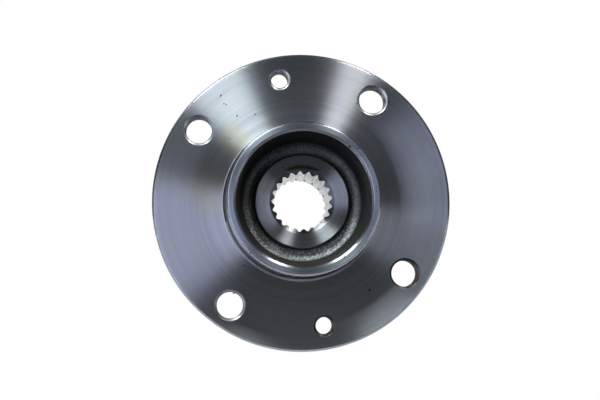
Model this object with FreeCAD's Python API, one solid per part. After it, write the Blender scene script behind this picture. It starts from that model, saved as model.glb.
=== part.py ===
import FreeCAD, Part
import math
import os

# Wheel hub turning in a sealed double-row ball bearing.
# The axle lies along Y. The wheel side faces -Y, +Z is up, and the origin is the centre of the
# flange face that the brake disc and wheel bolt against. All sizes are in millimetres.

# Wheel flange
flange_radius = 59.5
flange_thickness = 9.0
flange_edge_chamfer = 0.8
bolt_circle_rim_distance = 9.5

# Tapped holes, drilled to the thread's core size
wheel_bolt_count = 4
wheel_bolt_hole_radius = 5.25
wheel_bolt_first_angle = 55.3
disc_screw_count = 2
disc_screw_hole_radius = 3.4
disc_screw_turn_from_bolt = 45.0
hole_chamfer = 0.8

# Spigot that centres the wheel, with the relief groove at its foot
spigot_radius = 30.0
spigot_length = 16.0
spigot_edge_chamfer = 0.7
foot_groove_width = 2.0
foot_groove_depth = 0.9
foot_groove_fillet = 0.4

# Forged recess inside the spigot
mouth_radius = 26.5
mouth_chamfer = 0.8
recess_floor_radius = 24.2
recess_floor_depth = 2.4
recess_fillet = 2.6

# Machined boss on which the axle nut seats
nut_seat_radius = 18.6
nut_seat_height = 1.5
nut_seat_edge_chamfer = 0.35
nut_boss_draft = 0.6
nut_boss_fillet = 1.5

# Internal involute spline for the drive shaft
spline_teeth = 21
spline_pitch_radius = 11.5
spline_pressure_angle = 45.0
spline_addendum = 0.55
spline_dedendum = 0.6
spline_length = 31.5
spline_first_space_angle = 179.3
spline_mouth_clearance = 0.45

# Shank behind the flange
shank_bore_radius = 13.5
shank_end_setback = 1.0
shank_end_chamfer = 1.2
shoulder_radius = 23.2
shoulder_standoff = 3.0
shoulder_fillet = 1.0
back_web_radius = 43.0
back_web_rise = 1.3
back_web_fillet = 1.2

# Double-row angular contact bearing
bearing_bore_radius = 18.5
bearing_outer_radius = 36.0
bearing_width = 37.0
ball_to_section_ratio = 0.2948
least_ball_gap = 1.6
contact_angle = 36.0
race_excess_radius = 0.26
race_clearance = 0.06
high_shoulder_drop = 2.359
low_shoulder_lip = 0.2
outer_ring_chamfer = 1.5
inner_ring_corner = 1.8
ring_edge_chamfer = 0.4

# Snap cages
cage_gap = 2.0
cage_back_ring = 2.041
cage_front_ratio = 0.4458
cage_pocket_clearance = 0.2
cage_inner_ratio = 0.5621
cage_land_clearance = 1.1
cage_slot_width = 0.8
cage_slot_depth = 1.7

# Clip that holds the two inner rings together
clip_thickness = 0.7
clip_half_width = 2.6
clip_split_angle = 14.0
clip_side_clearance = 0.2
clip_seat_depth = 0.9

# Cassette seals
seal_width = 4.1
seal_recess = 0.3
seal_seat_step = 0.4
seal_seat_slack = 0.2
sheet_thickness = 0.6
slinger_tip_gap = 0.5
case_web_inner_offset = 1.6
lip_clearance = 0.12
lip_thickness = 0.7
rubber_skin = 0.6
disc_lip_reach = 2.0

# Places and sizes that follow from those above
bolt_circle_radius = flange_radius - bolt_circle_rim_distance
flange_back = flange_thickness
spigot_front = -spigot_length
nut_seat = -nut_seat_height
spline_end = nut_seat + spline_length
bearing_front = flange_back + shoulder_standoff
bearing_back = bearing_front + bearing_width
bearing_middle = (bearing_front + bearing_back) / 2
shank_end = bearing_back - shank_end_setback
spline_minor_radius = spline_pitch_radius - spline_addendum
spline_major_radius = spline_pitch_radius + spline_dedendum
spline_mouth_radius = spline_major_radius + spline_mouth_clearance
pitch_radius = (bearing_bore_radius + bearing_outer_radius) / 2
ball_radius = ball_to_section_ratio * (bearing_outer_radius - bearing_bore_radius)
ball_angle_needed = 2 * math.degrees(math.asin((ball_radius + least_ball_gap / 2) / pitch_radius))
ball_count = int(360.0 / ball_angle_needed)
high_shoulder_offset = ball_radius - high_shoulder_drop
cage_pocket_radius = ball_radius + cage_pocket_clearance
cage_back_reach = cage_pocket_radius + cage_back_ring
row_spacing = 2 * cage_back_reach + cage_gap
cage_front_reach = cage_front_ratio * ball_radius
cage_inner_offset = cage_inner_ratio * ball_radius
cage_outer_offset = high_shoulder_offset - cage_land_clearance
race_radius = ball_radius + race_excess_radius
outer_land_radius = pitch_radius + high_shoulder_offset
inner_land_radius = pitch_radius - high_shoulder_offset
outer_low_radius = pitch_radius + ball_radius - low_shoulder_lip
inner_low_radius = pitch_radius - ball_radius + low_shoulder_lip
seal_seat_radius = outer_low_radius + seal_seat_step
clip_groove_radius = bearing_bore_radius + clip_seat_depth
ball_spacing_angle = 360.0 / ball_count

tool_overrun = 1.0
axle = FreeCAD.Vector(0, 1, 0)
centre = FreeCAD.Vector(0, 0, 0)


# A corner of a turned outline, at a radius from the axle and a place along it.
def corner(radius, y, fillet=0.0, chamfer=0.0):
    return (FreeCAD.Vector(radius, y, 0), fillet, chamfer)


# Where the outline leaves one side of a corner, passes its fillet and joins the next side.
def corner_points(before, this, after):
    point, fillet, chamfer = this
    back = (before[0] - point).normalize()
    ahead = (after[0] - point).normalize()
    if fillet > 0:
        half_angle = back.getAngle(ahead) / 2
        setback = fillet / math.tan(half_angle)
        inward = (back + ahead).normalize()
        middle = point + inward * (fillet / math.sin(half_angle) - fillet)
        return (point + back * setback, middle, point + ahead * setback)
    return (point + back * chamfer, None, point + ahead * chamfer)


# A solid turned about the axle from a closed outline of corners.
def turned(corners):
    count = len(corners)
    passes = []
    for index in range(count):
        passes.append(corner_points(corners[index - 1], corners[index], corners[(index + 1) % count]))
    edges = []
    for index in range(count):
        start, middle, end = passes[index]
        if middle is not None:
            edges.append(Part.Arc(start, middle, end).toShape())
        elif start.distanceToPoint(end) > 1e-6:
            edges.append(Part.makeLine(start, end))
        edges.append(Part.makeLine(end, passes[(index + 1) % count][0]))
    face = Part.Face(Part.Wire(edges))
    return face.revolve(centre, axle, 360)


# The same shape moved round the axle, with the angle read as the wheel side shows it.
def turned_to(shape, angle):
    copy = shape.copy()
    copy.rotate(centre, axle, -angle)
    return copy


# A point at an angle round the axle, as the wheel side shows it.
def polar(radius, angle, y=0.0):
    radians = math.radians(angle)
    return FreeCAD.Vector(radius * math.cos(radians), y, radius * math.sin(radians))


# The drill and countersinks of one through hole in the flange, ready to be cut out.
def flange_hole(radius, angle):
    wide = radius + hole_chamfer + tool_overrun
    drill = turned([
        corner(0, -tool_overrun),
        corner(wide, -tool_overrun),
        corner(radius, hole_chamfer),
        corner(radius, flange_back - hole_chamfer),
        corner(wide, flange_back + tool_overrun),
        corner(0, flange_back + tool_overrun),
    ])
    drill.translate(polar(bolt_circle_radius, angle))
    return drill


# Half the angle that one spline space takes at a radius, from the involute of its base circle.
def space_half_angle(radius):
    pressure = math.radians(spline_pressure_angle)
    base_radius = spline_pitch_radius * math.cos(pressure)
    local = math.acos(base_radius / radius)
    at_pitch = math.pi / (2 * spline_teeth)
    return math.degrees(at_pitch + math.tan(pressure) - pressure - math.tan(local) + local)


# One flank of a spline space, from the tooth tips out to the root.
def space_flank(middle_angle, side):
    radii = (spline_minor_radius, spline_pitch_radius, spline_major_radius)
    points = [polar(radius, middle_angle + side * space_half_angle(radius)) for radius in radii]
    return Part.Arc(points[0], points[1], points[2]).toShape()


# The broach that leaves the internal teeth, over the length that is splined.
def spline_broach():
    step = 360.0 / spline_teeth
    edges = []
    for tooth in range(spline_teeth):
        space = spline_first_space_angle + tooth * step
        root = space_half_angle(spline_major_radius)
        tip = space_half_angle(spline_minor_radius)
        edges.append(space_flank(space, -1))
        edges.append(Part.Arc(
            polar(spline_major_radius, space - root),
            polar(spline_major_radius, space),
            polar(spline_major_radius, space + root)).toShape())
        edges.append(space_flank(space, 1))
        edges.append(Part.Arc(
            polar(spline_minor_radius, space + tip),
            polar(spline_minor_radius, space + step / 2),
            polar(spline_minor_radius, space + step - tip)).toShape())
    face = Part.Face(Part.Wire(Part.__sortEdges__(edges)))
    start = nut_seat - tool_overrun
    face.translate(FreeCAD.Vector(0, start, 0))
    return face.extrude(axle * (spline_end - start + tool_overrun))


# The hub forging: spigot, recess, nut seat, flange, shoulder and shank in one piece.
def hub_blank():
    groove_outer = spigot_radius + foot_groove_width
    groove_slope = foot_groove_depth / 2
    return turned([
        corner(0, nut_seat),
        corner(nut_seat_radius, nut_seat, chamfer=nut_seat_edge_chamfer),
        corner(nut_seat_radius + nut_boss_draft, recess_floor_depth, fillet=nut_boss_fillet),
        corner(recess_floor_radius, recess_floor_depth, fillet=recess_fillet),
        corner(mouth_radius, spigot_front, chamfer=mouth_chamfer),
        corner(spigot_radius, spigot_front, chamfer=spigot_edge_chamfer),
        corner(spigot_radius, foot_groove_depth, fillet=foot_groove_fillet),
        corner(groove_outer - groove_slope, foot_groove_depth, fillet=foot_groove_fillet),
        corner(groove_outer, 0),
        corner(flange_radius, 0, chamfer=flange_edge_chamfer),
        corner(flange_radius, flange_back, chamfer=flange_edge_chamfer),
        corner(back_web_radius, flange_back),
        corner(shoulder_radius, flange_back + back_web_rise, fillet=back_web_fillet),
        corner(shoulder_radius, bearing_front, chamfer=ring_edge_chamfer),
        corner(bearing_bore_radius, bearing_front, fillet=shoulder_fillet),
        corner(bearing_bore_radius, shank_end, chamfer=shank_end_chamfer),
        corner(0, shank_end),
    ])


def wheel_hub():
    hub = hub_blank()
    run_out = shank_bore_radius - spline_minor_radius
    mouth_depth = spline_mouth_radius - spline_minor_radius
    shank_bore = turned([
        corner(0, spline_end),
        corner(spline_minor_radius, spline_end),
        corner(shank_bore_radius, spline_end + run_out),
        corner(shank_bore_radius, shank_end - shank_end_chamfer),
        corner(shank_bore_radius + shank_end_chamfer + tool_overrun, shank_end + tool_overrun),
        corner(0, shank_end + tool_overrun),
    ])
    spline_mouth = turned([
        corner(0, nut_seat - tool_overrun),
        corner(spline_mouth_radius + tool_overrun, nut_seat - tool_overrun),
        corner(spline_minor_radius, nut_seat + mouth_depth),
        corner(0, nut_seat + mouth_depth),
    ])
    cutters = [spline_broach(), shank_bore, spline_mouth]
    for hole in range(wheel_bolt_count):
        angle = wheel_bolt_first_angle + hole * 360.0 / wheel_bolt_count
        cutters.append(flange_hole(wheel_bolt_hole_radius, angle))
    for hole in range(disc_screw_count):
        angle = wheel_bolt_first_angle + disc_screw_turn_from_bolt + hole * 360.0 / disc_screw_count
        cutters.append(flange_hole(disc_screw_hole_radius, angle))
    for cutter in cutters:
        hub = hub.cut(cutter)
    return hub


# Along the axle from the bearing's middle: -1 for the row beside the wheel, 1 for the other.
def row_middle(side):
    return bearing_middle + side * row_spacing / 2


# A race groove. Its centre stands off the ball's centre along the line of contact, so the
# ball touches only there. The direction is 1 for the outer race and -1 for the inner one.
def race_groove(side, direction):
    angle = math.radians(contact_angle)
    offset = direction * (race_excess_radius - race_clearance)
    groove_radius = pitch_radius - offset * math.cos(angle)
    groove_y = row_middle(side) + side * offset * math.sin(angle)
    return Part.makeTorus(groove_radius, race_radius, FreeCAD.Vector(0, groove_y, 0), axle)


# The outer ring, pressed into the knuckle. Its high shoulder stands between the two rows.
def outer_ring():
    seat_depth = seal_recess + seal_width + seal_seat_slack
    front_row = row_middle(-1)
    back_row = row_middle(1)
    ring = turned([
        corner(bearing_outer_radius, bearing_front, chamfer=outer_ring_chamfer),
        corner(bearing_outer_radius, bearing_back, chamfer=outer_ring_chamfer),
        corner(seal_seat_radius, bearing_back, chamfer=ring_edge_chamfer),
        corner(seal_seat_radius, bearing_back - seat_depth),
        corner(outer_low_radius, bearing_back - seat_depth),
        corner(outer_low_radius, back_row),
        corner(outer_land_radius, back_row),
        corner(outer_land_radius, front_row),
        corner(outer_low_radius, front_row),
        corner(outer_low_radius, bearing_front + seat_depth),
        corner(seal_seat_radius, bearing_front + seat_depth),
        corner(seal_seat_radius, bearing_front, chamfer=ring_edge_chamfer),
    ])
    for side in (-1, 1):
        ring = ring.cut(race_groove(side, 1))
    return ring


# One of the two inner rings. They meet at the bearing's middle, and each has its high
# shoulder on the outside, where the seal runs on it.
def inner_ring(side):
    face = bearing_middle + side * bearing_width / 2
    row = row_middle(side)
    groove_edge = bearing_middle + side * clip_half_width
    ring = turned([
        corner(bearing_bore_radius, face, chamfer=inner_ring_corner),
        corner(inner_land_radius, face, chamfer=ring_edge_chamfer),
        corner(inner_land_radius, row),
        corner(inner_low_radius, row),
        corner(inner_low_radius, bearing_middle, chamfer=ring_edge_chamfer),
        corner(clip_groove_radius, bearing_middle),
        corner(clip_groove_radius, groove_edge),
        corner(bearing_bore_radius, groove_edge),
    ])
    return ring.cut(race_groove(side, -1))


# The split clip in the grooves inside the two inner rings.
def inner_ring_clip():
    outer = clip_groove_radius
    reach = clip_half_width - clip_side_clearance
    band = turned([
        corner(outer - clip_thickness, bearing_middle - reach),
        corner(outer, bearing_middle - reach),
        corner(outer, bearing_middle + reach),
        corner(outer - clip_thickness, bearing_middle + reach),
    ])
    half_split = math.radians(clip_split_angle / 2)
    split_width = 2 * outer * math.sin(half_split)
    split = Part.makeBox(
        split_width, 2 * clip_half_width, 2 * clip_thickness + tool_overrun,
        FreeCAD.Vector(-split_width / 2, bearing_middle - clip_half_width, -outer - tool_overrun))
    return band.cut(split)


# The angle of a ball round the axle. The two rows are set half a space apart.
def ball_angle(side, index):
    stagger = ball_spacing_angle / 2 if side > 0 else 0.0
    return stagger + index * ball_spacing_angle


def ball(side, index):
    place = polar(pitch_radius, ball_angle(side, index), row_middle(side))
    return Part.makeSphere(ball_radius, place)


# The bore of one cage pocket, across the first ball's place. Its seam faces the open side.
def pocket_bore(side, inner, outer):
    bore = Part.makeCylinder(cage_pocket_radius, outer - inner + 2 * tool_overrun)
    bore.rotate(centre, FreeCAD.Vector(0, 0, 1), 90 * side)
    bore.rotate(centre, axle, 90)
    bore.translate(FreeCAD.Vector(inner - tool_overrun, row_middle(side), 0))
    return bore


# A snap cage: a solid back ring toward the bearing's middle, and pockets that close past
# the balls' widest point, with a slot in each bar so that it can spread.
def cage(side):
    back = row_middle(side) - side * cage_back_reach
    front = row_middle(side) + side * cage_front_reach
    inner = pitch_radius - cage_inner_offset
    outer = pitch_radius + cage_outer_offset
    body = turned([
        corner(inner, back, chamfer=ring_edge_chamfer),
        corner(outer, back, chamfer=ring_edge_chamfer),
        corner(outer, front),
        corner(inner, front),
    ])
    slot_low = min(front - side * cage_slot_depth, front + side * tool_overrun)
    slot = Part.makeBox(
        outer - inner + 2 * tool_overrun, cage_slot_depth + tool_overrun, cage_slot_width,
        FreeCAD.Vector(inner - tool_overrun, slot_low, -cage_slot_width / 2))
    bore = pocket_bore(side, inner, outer)
    for index in range(ball_count):
        angle = ball_angle(side, index)
        body = body.cut(turned_to(bore, angle))
        body = body.cut(turned_to(slot, angle + ball_spacing_angle / 2))
    return body


# A place in a seal, counted from the bearing's face toward its middle.
def seal_place(side, depth):
    return bearing_middle + side * (bearing_width / 2 - seal_recess - depth)


# The steel slinger, pressed on the inner ring and turning with it.
def slinger(side):
    root = inner_land_radius
    tip = seal_seat_radius - sheet_thickness - slinger_tip_gap
    return turned([
        corner(root, seal_place(side, 0), fillet=sheet_thickness),
        corner(tip, seal_place(side, 0)),
        corner(tip, seal_place(side, sheet_thickness)),
        corner(root + sheet_thickness, seal_place(side, sheet_thickness)),
        corner(root + sheet_thickness, seal_place(side, seal_width)),
        corner(root, seal_place(side, seal_width)),
    ])


# The steel case, pressed in the outer ring and standing still.
def seal_case(side):
    rim = seal_seat_radius
    web = inner_land_radius + case_web_inner_offset
    return turned([
        corner(rim, seal_place(side, 0)),
        corner(rim, seal_place(side, seal_width), fillet=sheet_thickness),
        corner(web, seal_place(side, seal_width)),
        corner(web, seal_place(side, seal_width - sheet_thickness)),
        corner(rim - sheet_thickness, seal_place(side, seal_width - sheet_thickness)),
        corner(rim - sheet_thickness, seal_place(side, 0)),
    ])


# The rubber moulded on the case, with one lip on the slinger's disc and two on its sleeve.
def seal_lip(side):
    sleeve = inner_land_radius + sheet_thickness + lip_clearance
    disc = sheet_thickness + lip_clearance
    web_face = seal_width - sheet_thickness
    skin_face = web_face - rubber_skin
    foot = inner_land_radius + case_web_inner_offset
    rim = seal_seat_radius - sheet_thickness
    tip = lip_thickness / 2
    return turned([
        corner(foot, seal_place(side, web_face)),
        corner(foot, seal_place(side, seal_width)),
        corner(sleeve, seal_place(side, seal_width)),
        corner(sleeve, seal_place(side, seal_width - tip)),
        corner(sleeve + lip_thickness, seal_place(side, skin_face)),
        corner(sleeve, seal_place(side, disc + lip_thickness + tip)),
        corner(sleeve, seal_place(side, disc + lip_thickness)),
        corner(foot, seal_place(side, skin_face - lip_thickness)),
        corner(foot + disc_lip_reach, seal_place(side, disc)),
        corner(foot + disc_lip_reach + tip, seal_place(side, disc)),
        corner(foot + lip_thickness + tip, seal_place(side, skin_face)),
        corner(rim, seal_place(side, skin_face)),
        corner(rim, seal_place(side, web_face)),
    ])


def write(name, shape):
    shape.exportStep("parts/" + name + ".step")


os.makedirs("parts", exist_ok=True)
write("wheel_hub", wheel_hub())
write("outer_ring", outer_ring())
write("inner_ring_clip", inner_ring_clip())
for side, place in ((-1, "outboard"), (1, "inboard")):
    write("inner_ring_" + place, inner_ring(side))
    write("cage_" + place, cage(side))
    write("slinger_" + place, slinger(side))
    write("seal_case_" + place, seal_case(side))
    write("seal_lip_" + place, seal_lip(side))
    for index in range(ball_count):
        write("ball_" + place + "_" + str(index + 1), ball(side, index))
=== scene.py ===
import bmesh
import bpy
import math
from mathutils import Matrix, Vector


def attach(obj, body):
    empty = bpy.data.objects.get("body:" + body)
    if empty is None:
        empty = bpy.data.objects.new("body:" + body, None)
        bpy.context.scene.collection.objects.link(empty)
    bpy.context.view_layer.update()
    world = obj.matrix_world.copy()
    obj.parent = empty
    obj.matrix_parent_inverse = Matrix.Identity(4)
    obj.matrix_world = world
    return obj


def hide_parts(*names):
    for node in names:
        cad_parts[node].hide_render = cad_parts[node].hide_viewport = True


# Wheel hub with its double-row ball bearing. The axle lies along Y, the wheel side faces -Y,
# and +Z is up. Outlines are written in millimetres from the centre of the flange face.

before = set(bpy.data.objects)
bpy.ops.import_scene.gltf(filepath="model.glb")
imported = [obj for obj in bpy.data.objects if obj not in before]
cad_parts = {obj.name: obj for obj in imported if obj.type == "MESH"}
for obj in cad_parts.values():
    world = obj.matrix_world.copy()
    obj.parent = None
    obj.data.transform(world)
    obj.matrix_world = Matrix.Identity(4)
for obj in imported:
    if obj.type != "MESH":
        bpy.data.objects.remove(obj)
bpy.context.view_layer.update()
print("stage: frame loaded")

mm = 0.001  # one millimetre in Blender's metres
latheSteps = 288  # sides of the large turned surfaces
boreSteps = 192
weldGap = 1e-7
beyond = 1  # how far a cutter reaches past the steel


# One corner of a turned outline, at a radius from the axle and a place along it.
def corner(radius, place, fillet=0.0, chamfer=0.0):
    return {"at": Vector((radius, place)), "fillet": fillet, "chamfer": chamfer}


# The outline's points, with each corner rounded or bevelled as it says.
def outline(corners, arcSteps=7):
    points = []
    for index, this in enumerate(corners):
        toBack = (corners[index - 1]["at"] - this["at"]).normalized()
        toAhead = (corners[(index + 1) % len(corners)]["at"] - this["at"]).normalized()
        if this["fillet"] > 0:
            half = toBack.angle(toAhead) / 2
            setback = this["fillet"] / math.tan(half)
            middle = this["at"] + (toBack + toAhead).normalized() * (this["fillet"] / math.sin(half))
            start = this["at"] + toBack * setback - middle
            end = this["at"] + toAhead * setback - middle
            turn = start.angle_signed(end)
            for step in range(arcSteps + 1):
                points.append(middle + Matrix.Rotation(-turn * step / arcSteps, 2) @ start)
        elif this["chamfer"] > 0:
            points.append(this["at"] + toBack * this["chamfer"])
            points.append(this["at"] + toAhead * this["chamfer"])
        else:
            points.append(this["at"].copy())
    return points


# A mesh spun about the axle from a row of points. An open row starts and ends on the axle.
def spun(points, steps=latheSteps, closed=True):
    mesh = bmesh.new()
    row = [mesh.verts.new((point.x * mm, point.y * mm, 0)) for point in map(Vector, points)]
    links = [mesh.edges.new(pair) for pair in zip(row, row[1:])]
    if closed:
        links.append(mesh.edges.new((row[-1], row[0])))
    bmesh.ops.spin(mesh, geom=row + links, cent=(0, 0, 0), axis=(0, 1, 0),
                   angle=2 * math.pi, steps=steps, use_merge=True)
    bmesh.ops.remove_doubles(mesh, verts=mesh.verts, dist=weldGap)
    bmesh.ops.recalc_face_normals(mesh, faces=mesh.faces)
    return mesh


# The scene object of a finished mesh.
def placed(name, mesh):
    data = bpy.data.meshes.new(name)
    mesh.to_mesh(data)
    mesh.free()
    piece = bpy.data.objects.new(name, data)
    bpy.context.scene.collection.objects.link(piece)
    return piece


# Smooth shading that stays crisp across every edge sharper than the angle, in degrees.
def shade(piece, angle=24):
    piece.data.shade_smooth()
    piece.data.set_sharp_from_angle(angle=math.radians(angle))
    even = piece.modifiers.new("evenNormals", "WEIGHTED_NORMAL")
    even.weight = 100
    even.keep_sharp = True


# The piece with each cutter taken out of it, or joined to it.
def cut(piece, cutters, operation="DIFFERENCE"):
    for cutter in cutters:
        step = piece.modifiers.new("cut", "BOOLEAN")
        step.operation = operation
        step.solver = "MANIFOLD"
        step.object = cutter
    graph = bpy.context.evaluated_depsgraph_get()
    data = bpy.data.meshes.new_from_object(piece.evaluated_get(graph))
    data.name = piece.name
    piece.modifiers.clear()
    piece.data = data
    for cutter in cutters:
        bpy.data.objects.remove(cutter)


# The direction away from the axle at an angle, as the wheel side shows it.
def outward(angle):
    turn = math.radians(angle)
    return Vector((math.cos(turn), 0, math.sin(turn)))


flange = {"radius": 59.5, "thickness": 9.0, "chamfer": 0.8, "boltCircle": 50.0}
spigot = {"radius": 30.0, "front": -16.0, "chamfer": 0.7, "wornEdge": 0.35, "groove": 1.5,
          "grooveDepth": 0.9, "grooveSlope": 0.5, "grooveFillet": 0.3}
recess = {"mouth": 26.35, "mouthChamfer": 0.9, "floorRadius": 23.9, "floor": 1.5, "fillet": 4.2}
nutSeat = {"radius": 18.6, "place": -1.5, "draft": 0.5, "chamfer": 0.35, "fillet": 0.4}
spline = {"teeth": 21, "pitch": 11.5, "minor": 10.95, "major": 12.1, "end": 30.0, "firstSpace": 179.3,
          "mouth": 12.95, "pressureAngle": 45, "flankSteps": 5, "lead": 3, "stock": 2}
shank = {"radius": 18.5, "front": 12.0, "end": 48.0, "bore": 13.2, "chamfer": 1.2, "rootFillet": 1.0,
         "shoulder": 23.2, "shoulderChamfer": 0.4}
backWeb = {"radius": 43.0, "rise": 1.3, "fillet": 1.2}


# The hub's turned outline: nut seat, recess, spigot, flange and shank, in this order.
def hubOutline():
    edgeRoundAndPaintedHighlight = spigot["wornEdge"]
    grooveOuter = spigot["radius"] + spigot["groove"]
    start = spline["minor"] - spline["stock"]
    return outline([
        corner(start, nutSeat["place"]),
        corner(nutSeat["radius"], nutSeat["place"], chamfer=nutSeat["chamfer"]),
        corner(nutSeat["radius"] + nutSeat["draft"], recess["floor"], fillet=nutSeat["fillet"]),
        corner(recess["floorRadius"], recess["floor"], fillet=recess["fillet"]),
        corner(recess["mouth"], spigot["front"] + recess["mouthChamfer"], fillet=edgeRoundAndPaintedHighlight),
        corner(recess["mouth"] + recess["mouthChamfer"], spigot["front"], fillet=edgeRoundAndPaintedHighlight),
        corner(spigot["radius"] - spigot["chamfer"], spigot["front"], fillet=edgeRoundAndPaintedHighlight),
        corner(spigot["radius"], spigot["front"] + spigot["chamfer"], fillet=edgeRoundAndPaintedHighlight),
        corner(spigot["radius"], spigot["grooveDepth"], fillet=spigot["grooveFillet"]),
        corner(grooveOuter - spigot["grooveSlope"], spigot["grooveDepth"], fillet=spigot["grooveFillet"]),
        corner(grooveOuter, 0, fillet=edgeRoundAndPaintedHighlight),
        corner(flange["radius"] - flange["chamfer"], 0, fillet=edgeRoundAndPaintedHighlight),
        corner(flange["radius"], flange["chamfer"], fillet=edgeRoundAndPaintedHighlight),
        corner(flange["radius"], flange["thickness"], chamfer=flange["chamfer"]),
        corner(backWeb["radius"], flange["thickness"]),
        corner(shank["shoulder"], flange["thickness"] + backWeb["rise"], fillet=backWeb["fillet"]),
        corner(shank["shoulder"], shank["front"], chamfer=shank["shoulderChamfer"]),
        corner(shank["radius"], shank["front"], fillet=shank["rootFillet"]),
        corner(shank["radius"], shank["end"], chamfer=shank["chamfer"]),
        corner(start, shank["end"]),
    ])


# Half the angle of one spline space at a radius, from the involute of its base circle.
def spaceHalfAngle(radius):
    pressure = math.radians(spline["pressureAngle"])
    base = spline["pitch"] * math.cos(pressure)
    local = math.acos(base / radius)
    atPitch = math.pi / (2 * spline["teeth"])
    return atPitch + math.tan(pressure) - pressure - math.tan(local) + local


# The broach that cuts the internal spline.
def broach():
    step = 2 * math.pi / spline["teeth"]
    height = spline["major"] - spline["minor"]
    flank = [spline["minor"] + height * part / spline["flankSteps"]
             for part in range(spline["flankSteps"] + 1)]
    mesh = bmesh.new()
    ring = []
    for tooth in range(spline["teeth"]):
        space = math.radians(spline["firstSpace"]) + tooth * step
        spots = [(radius, space - spaceHalfAngle(radius)) for radius in flank]
        spots.append((spline["major"], space))
        spots += [(radius, space + spaceHalfAngle(radius)) for radius in reversed(flank)]
        spots.append((spline["minor"], space + step / 2))
        for radius, angle in spots:
            ring.append(mesh.verts.new((radius * mm * math.cos(angle), -spline["lead"] * mm,
                                        radius * mm * math.sin(angle))))
    face = mesh.faces.new(ring)
    grown = bmesh.ops.extrude_face_region(mesh, geom=[face])
    moved = [item for item in grown["geom"] if isinstance(item, bmesh.types.BMVert)]
    length = spline["end"] + spline["lead"] + beyond
    bmesh.ops.translate(mesh, verts=moved, vec=(0, length * mm, 0))
    bmesh.ops.recalc_face_normals(mesh, faces=mesh.faces)
    return placed("broach", mesh)


# The two boring tools: one behind the spline, and one for the spline's conical mouth.
def bores():
    runOut = shank["bore"] - spline["minor"]
    back = shank["end"] + beyond
    rear = [(0, spline["end"]), (spline["minor"], spline["end"]),
            (shank["bore"], spline["end"] + runOut), (shank["bore"], shank["end"] - shank["chamfer"]),
            (shank["bore"] + shank["chamfer"] + beyond, back), (0, back)]
    front = nutSeat["place"] - beyond
    deep = nutSeat["place"] + (spline["mouth"] - spline["minor"])
    mouth = [(0, front), (spline["mouth"] + beyond, front), (spline["minor"], deep), (0, deep)]
    return [placed("bore", spun(rows, boreSteps, closed=False)) for rows in (rear, mouth)]


wheelHole = {"radius": 5.25, "threadDepth": 0.72, "pitch": 1.5, "firstAngle": 55.3, "count": 4}
discHole = {"radius": 3.4, "threadDepth": 0.58, "pitch": 1.25, "firstAngle": 100.3, "count": 2}
countersink = {"width": 0.9, "slope": 30, "steps": 64}
# A thread starts before the face, is sampled in rings and steps, and stays clear of the drill.
thread = {"start": -1.4, "length": 3, "rings": 8, "steps": 56, "crest": 1.25, "flank": 2.5, "clear": 0.04}


# Each hole of the flange, with its angle on the bolt circle.
def flangeHoles():
    return [(hole, hole["firstAngle"] + index * 360 / hole["count"])
            for hole in (wheelHole, discHole) for index in range(hole["count"])]


# Where a hole's centre lies on the bolt circle.
def boltPlace(angle):
    return outward(angle) * flange["boltCircle"] * mm


# The drill of one flange hole, with a countersink for each face.
def drill(hole, angle):
    fall = math.tan(math.radians(countersink["slope"]))
    deep = countersink["width"] * fall
    wide = hole["radius"] + countersink["width"] + beyond / fall
    back = flange["thickness"]
    rows = [(0, -beyond), (wide, -beyond), (hole["radius"], deep), (hole["radius"], back - deep),
            (wide, back + beyond), (0, back + beyond)]
    mesh = spun(rows, countersink["steps"], closed=False)
    bmesh.ops.translate(mesh, verts=mesh.verts, vec=boltPlace(angle))
    return placed("drill", mesh)


# The tap of one flange hole: a rod whose surface climbs one pitch in each turn.
def tap(hole, angle):
    turns = int((flange["thickness"] + thread["length"]) / hole["pitch"])
    rows = [(0, thread["start"])]
    for ring in range(turns * thread["rings"] + 1):
        rows.append((hole["radius"], thread["start"] + ring * hole["pitch"] / thread["rings"]))
    rows.append((0, rows[-1][1]))
    mesh = spun(rows, thread["steps"], closed=False)
    for vert in mesh.verts:
        radius = math.hypot(vert.co.x, vert.co.z)
        if radius > hole["radius"] / 2 * mm:  # not the two ends on the axis
            turn = math.atan2(vert.co.z, vert.co.x) / (2 * math.pi)
            phase = (vert.co.y / mm / hole["pitch"] + turn) % 1
            climb = min(1, max(0, thread["crest"] - thread["flank"] * abs(phase - 0.5)))
            wanted = (hole["radius"] - thread["clear"] + hole["threadDepth"] * (1 - climb)) * mm
            vert.co.x *= wanted / radius
            vert.co.z *= wanted / radius
    bmesh.ops.translate(mesh, verts=mesh.verts, vec=boltPlace(angle))
    return placed("tap", mesh)


# Small knocks in the steel: radius from the axle, angle, place along the axle, and size.
dents = [(28.5, 42.2, -16, 0.5), (26.9, 48.7, -16, 0.45), (28.3, 9.0, -16, 0.28), (28.25, 6.0, -16, 0.25),
         (26.9, 110.5, -16, 0.3), (27.3, 116.0, -16, 0.22), (29.4, 226.0, -16, 0.25),
         (28.3, 246.5, -16, 0.2), (43.0, 127.1, 0, 0.4), (39.6, 118.2, 0, 0.35), (34.5, 102.2, 0, 0.32),
         (34.8, 97.6, 0, 0.28), (53.4, 127.4, 0, 0.4), (50.0, 128.6, 0, 0.36), (49.1, 128.0, 0, 0.3),
         (45.4, 61.0, 0, 0.25), (56.0, 37.5, 0, 0.3), (38.2, 139.0, 0, 0.25), (52.0, 108.5, 0, 0.25)]
dentDepth = 0.5  # of the size
# The one burr, in the thread of the hole at this angle.
burr = {"holeAngle": 235.3, "aside": 72, "deep": 1.6, "size": 0.55}


# The tool that leaves one small knock, flatter than a ball.
def knock(radius, angle, place, size):
    turn = math.radians(angle)
    mesh = bmesh.new()
    bmesh.ops.create_icosphere(mesh, subdivisions=2, radius=size * mm)
    bmesh.ops.scale(mesh, verts=mesh.verts, vec=(1, dentDepth, 1))
    bmesh.ops.translate(mesh, verts=mesh.verts, vec=Vector((math.cos(turn) * radius, place,
                                                            math.sin(turn) * radius)) * mm)
    return placed("knock", mesh)


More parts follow.
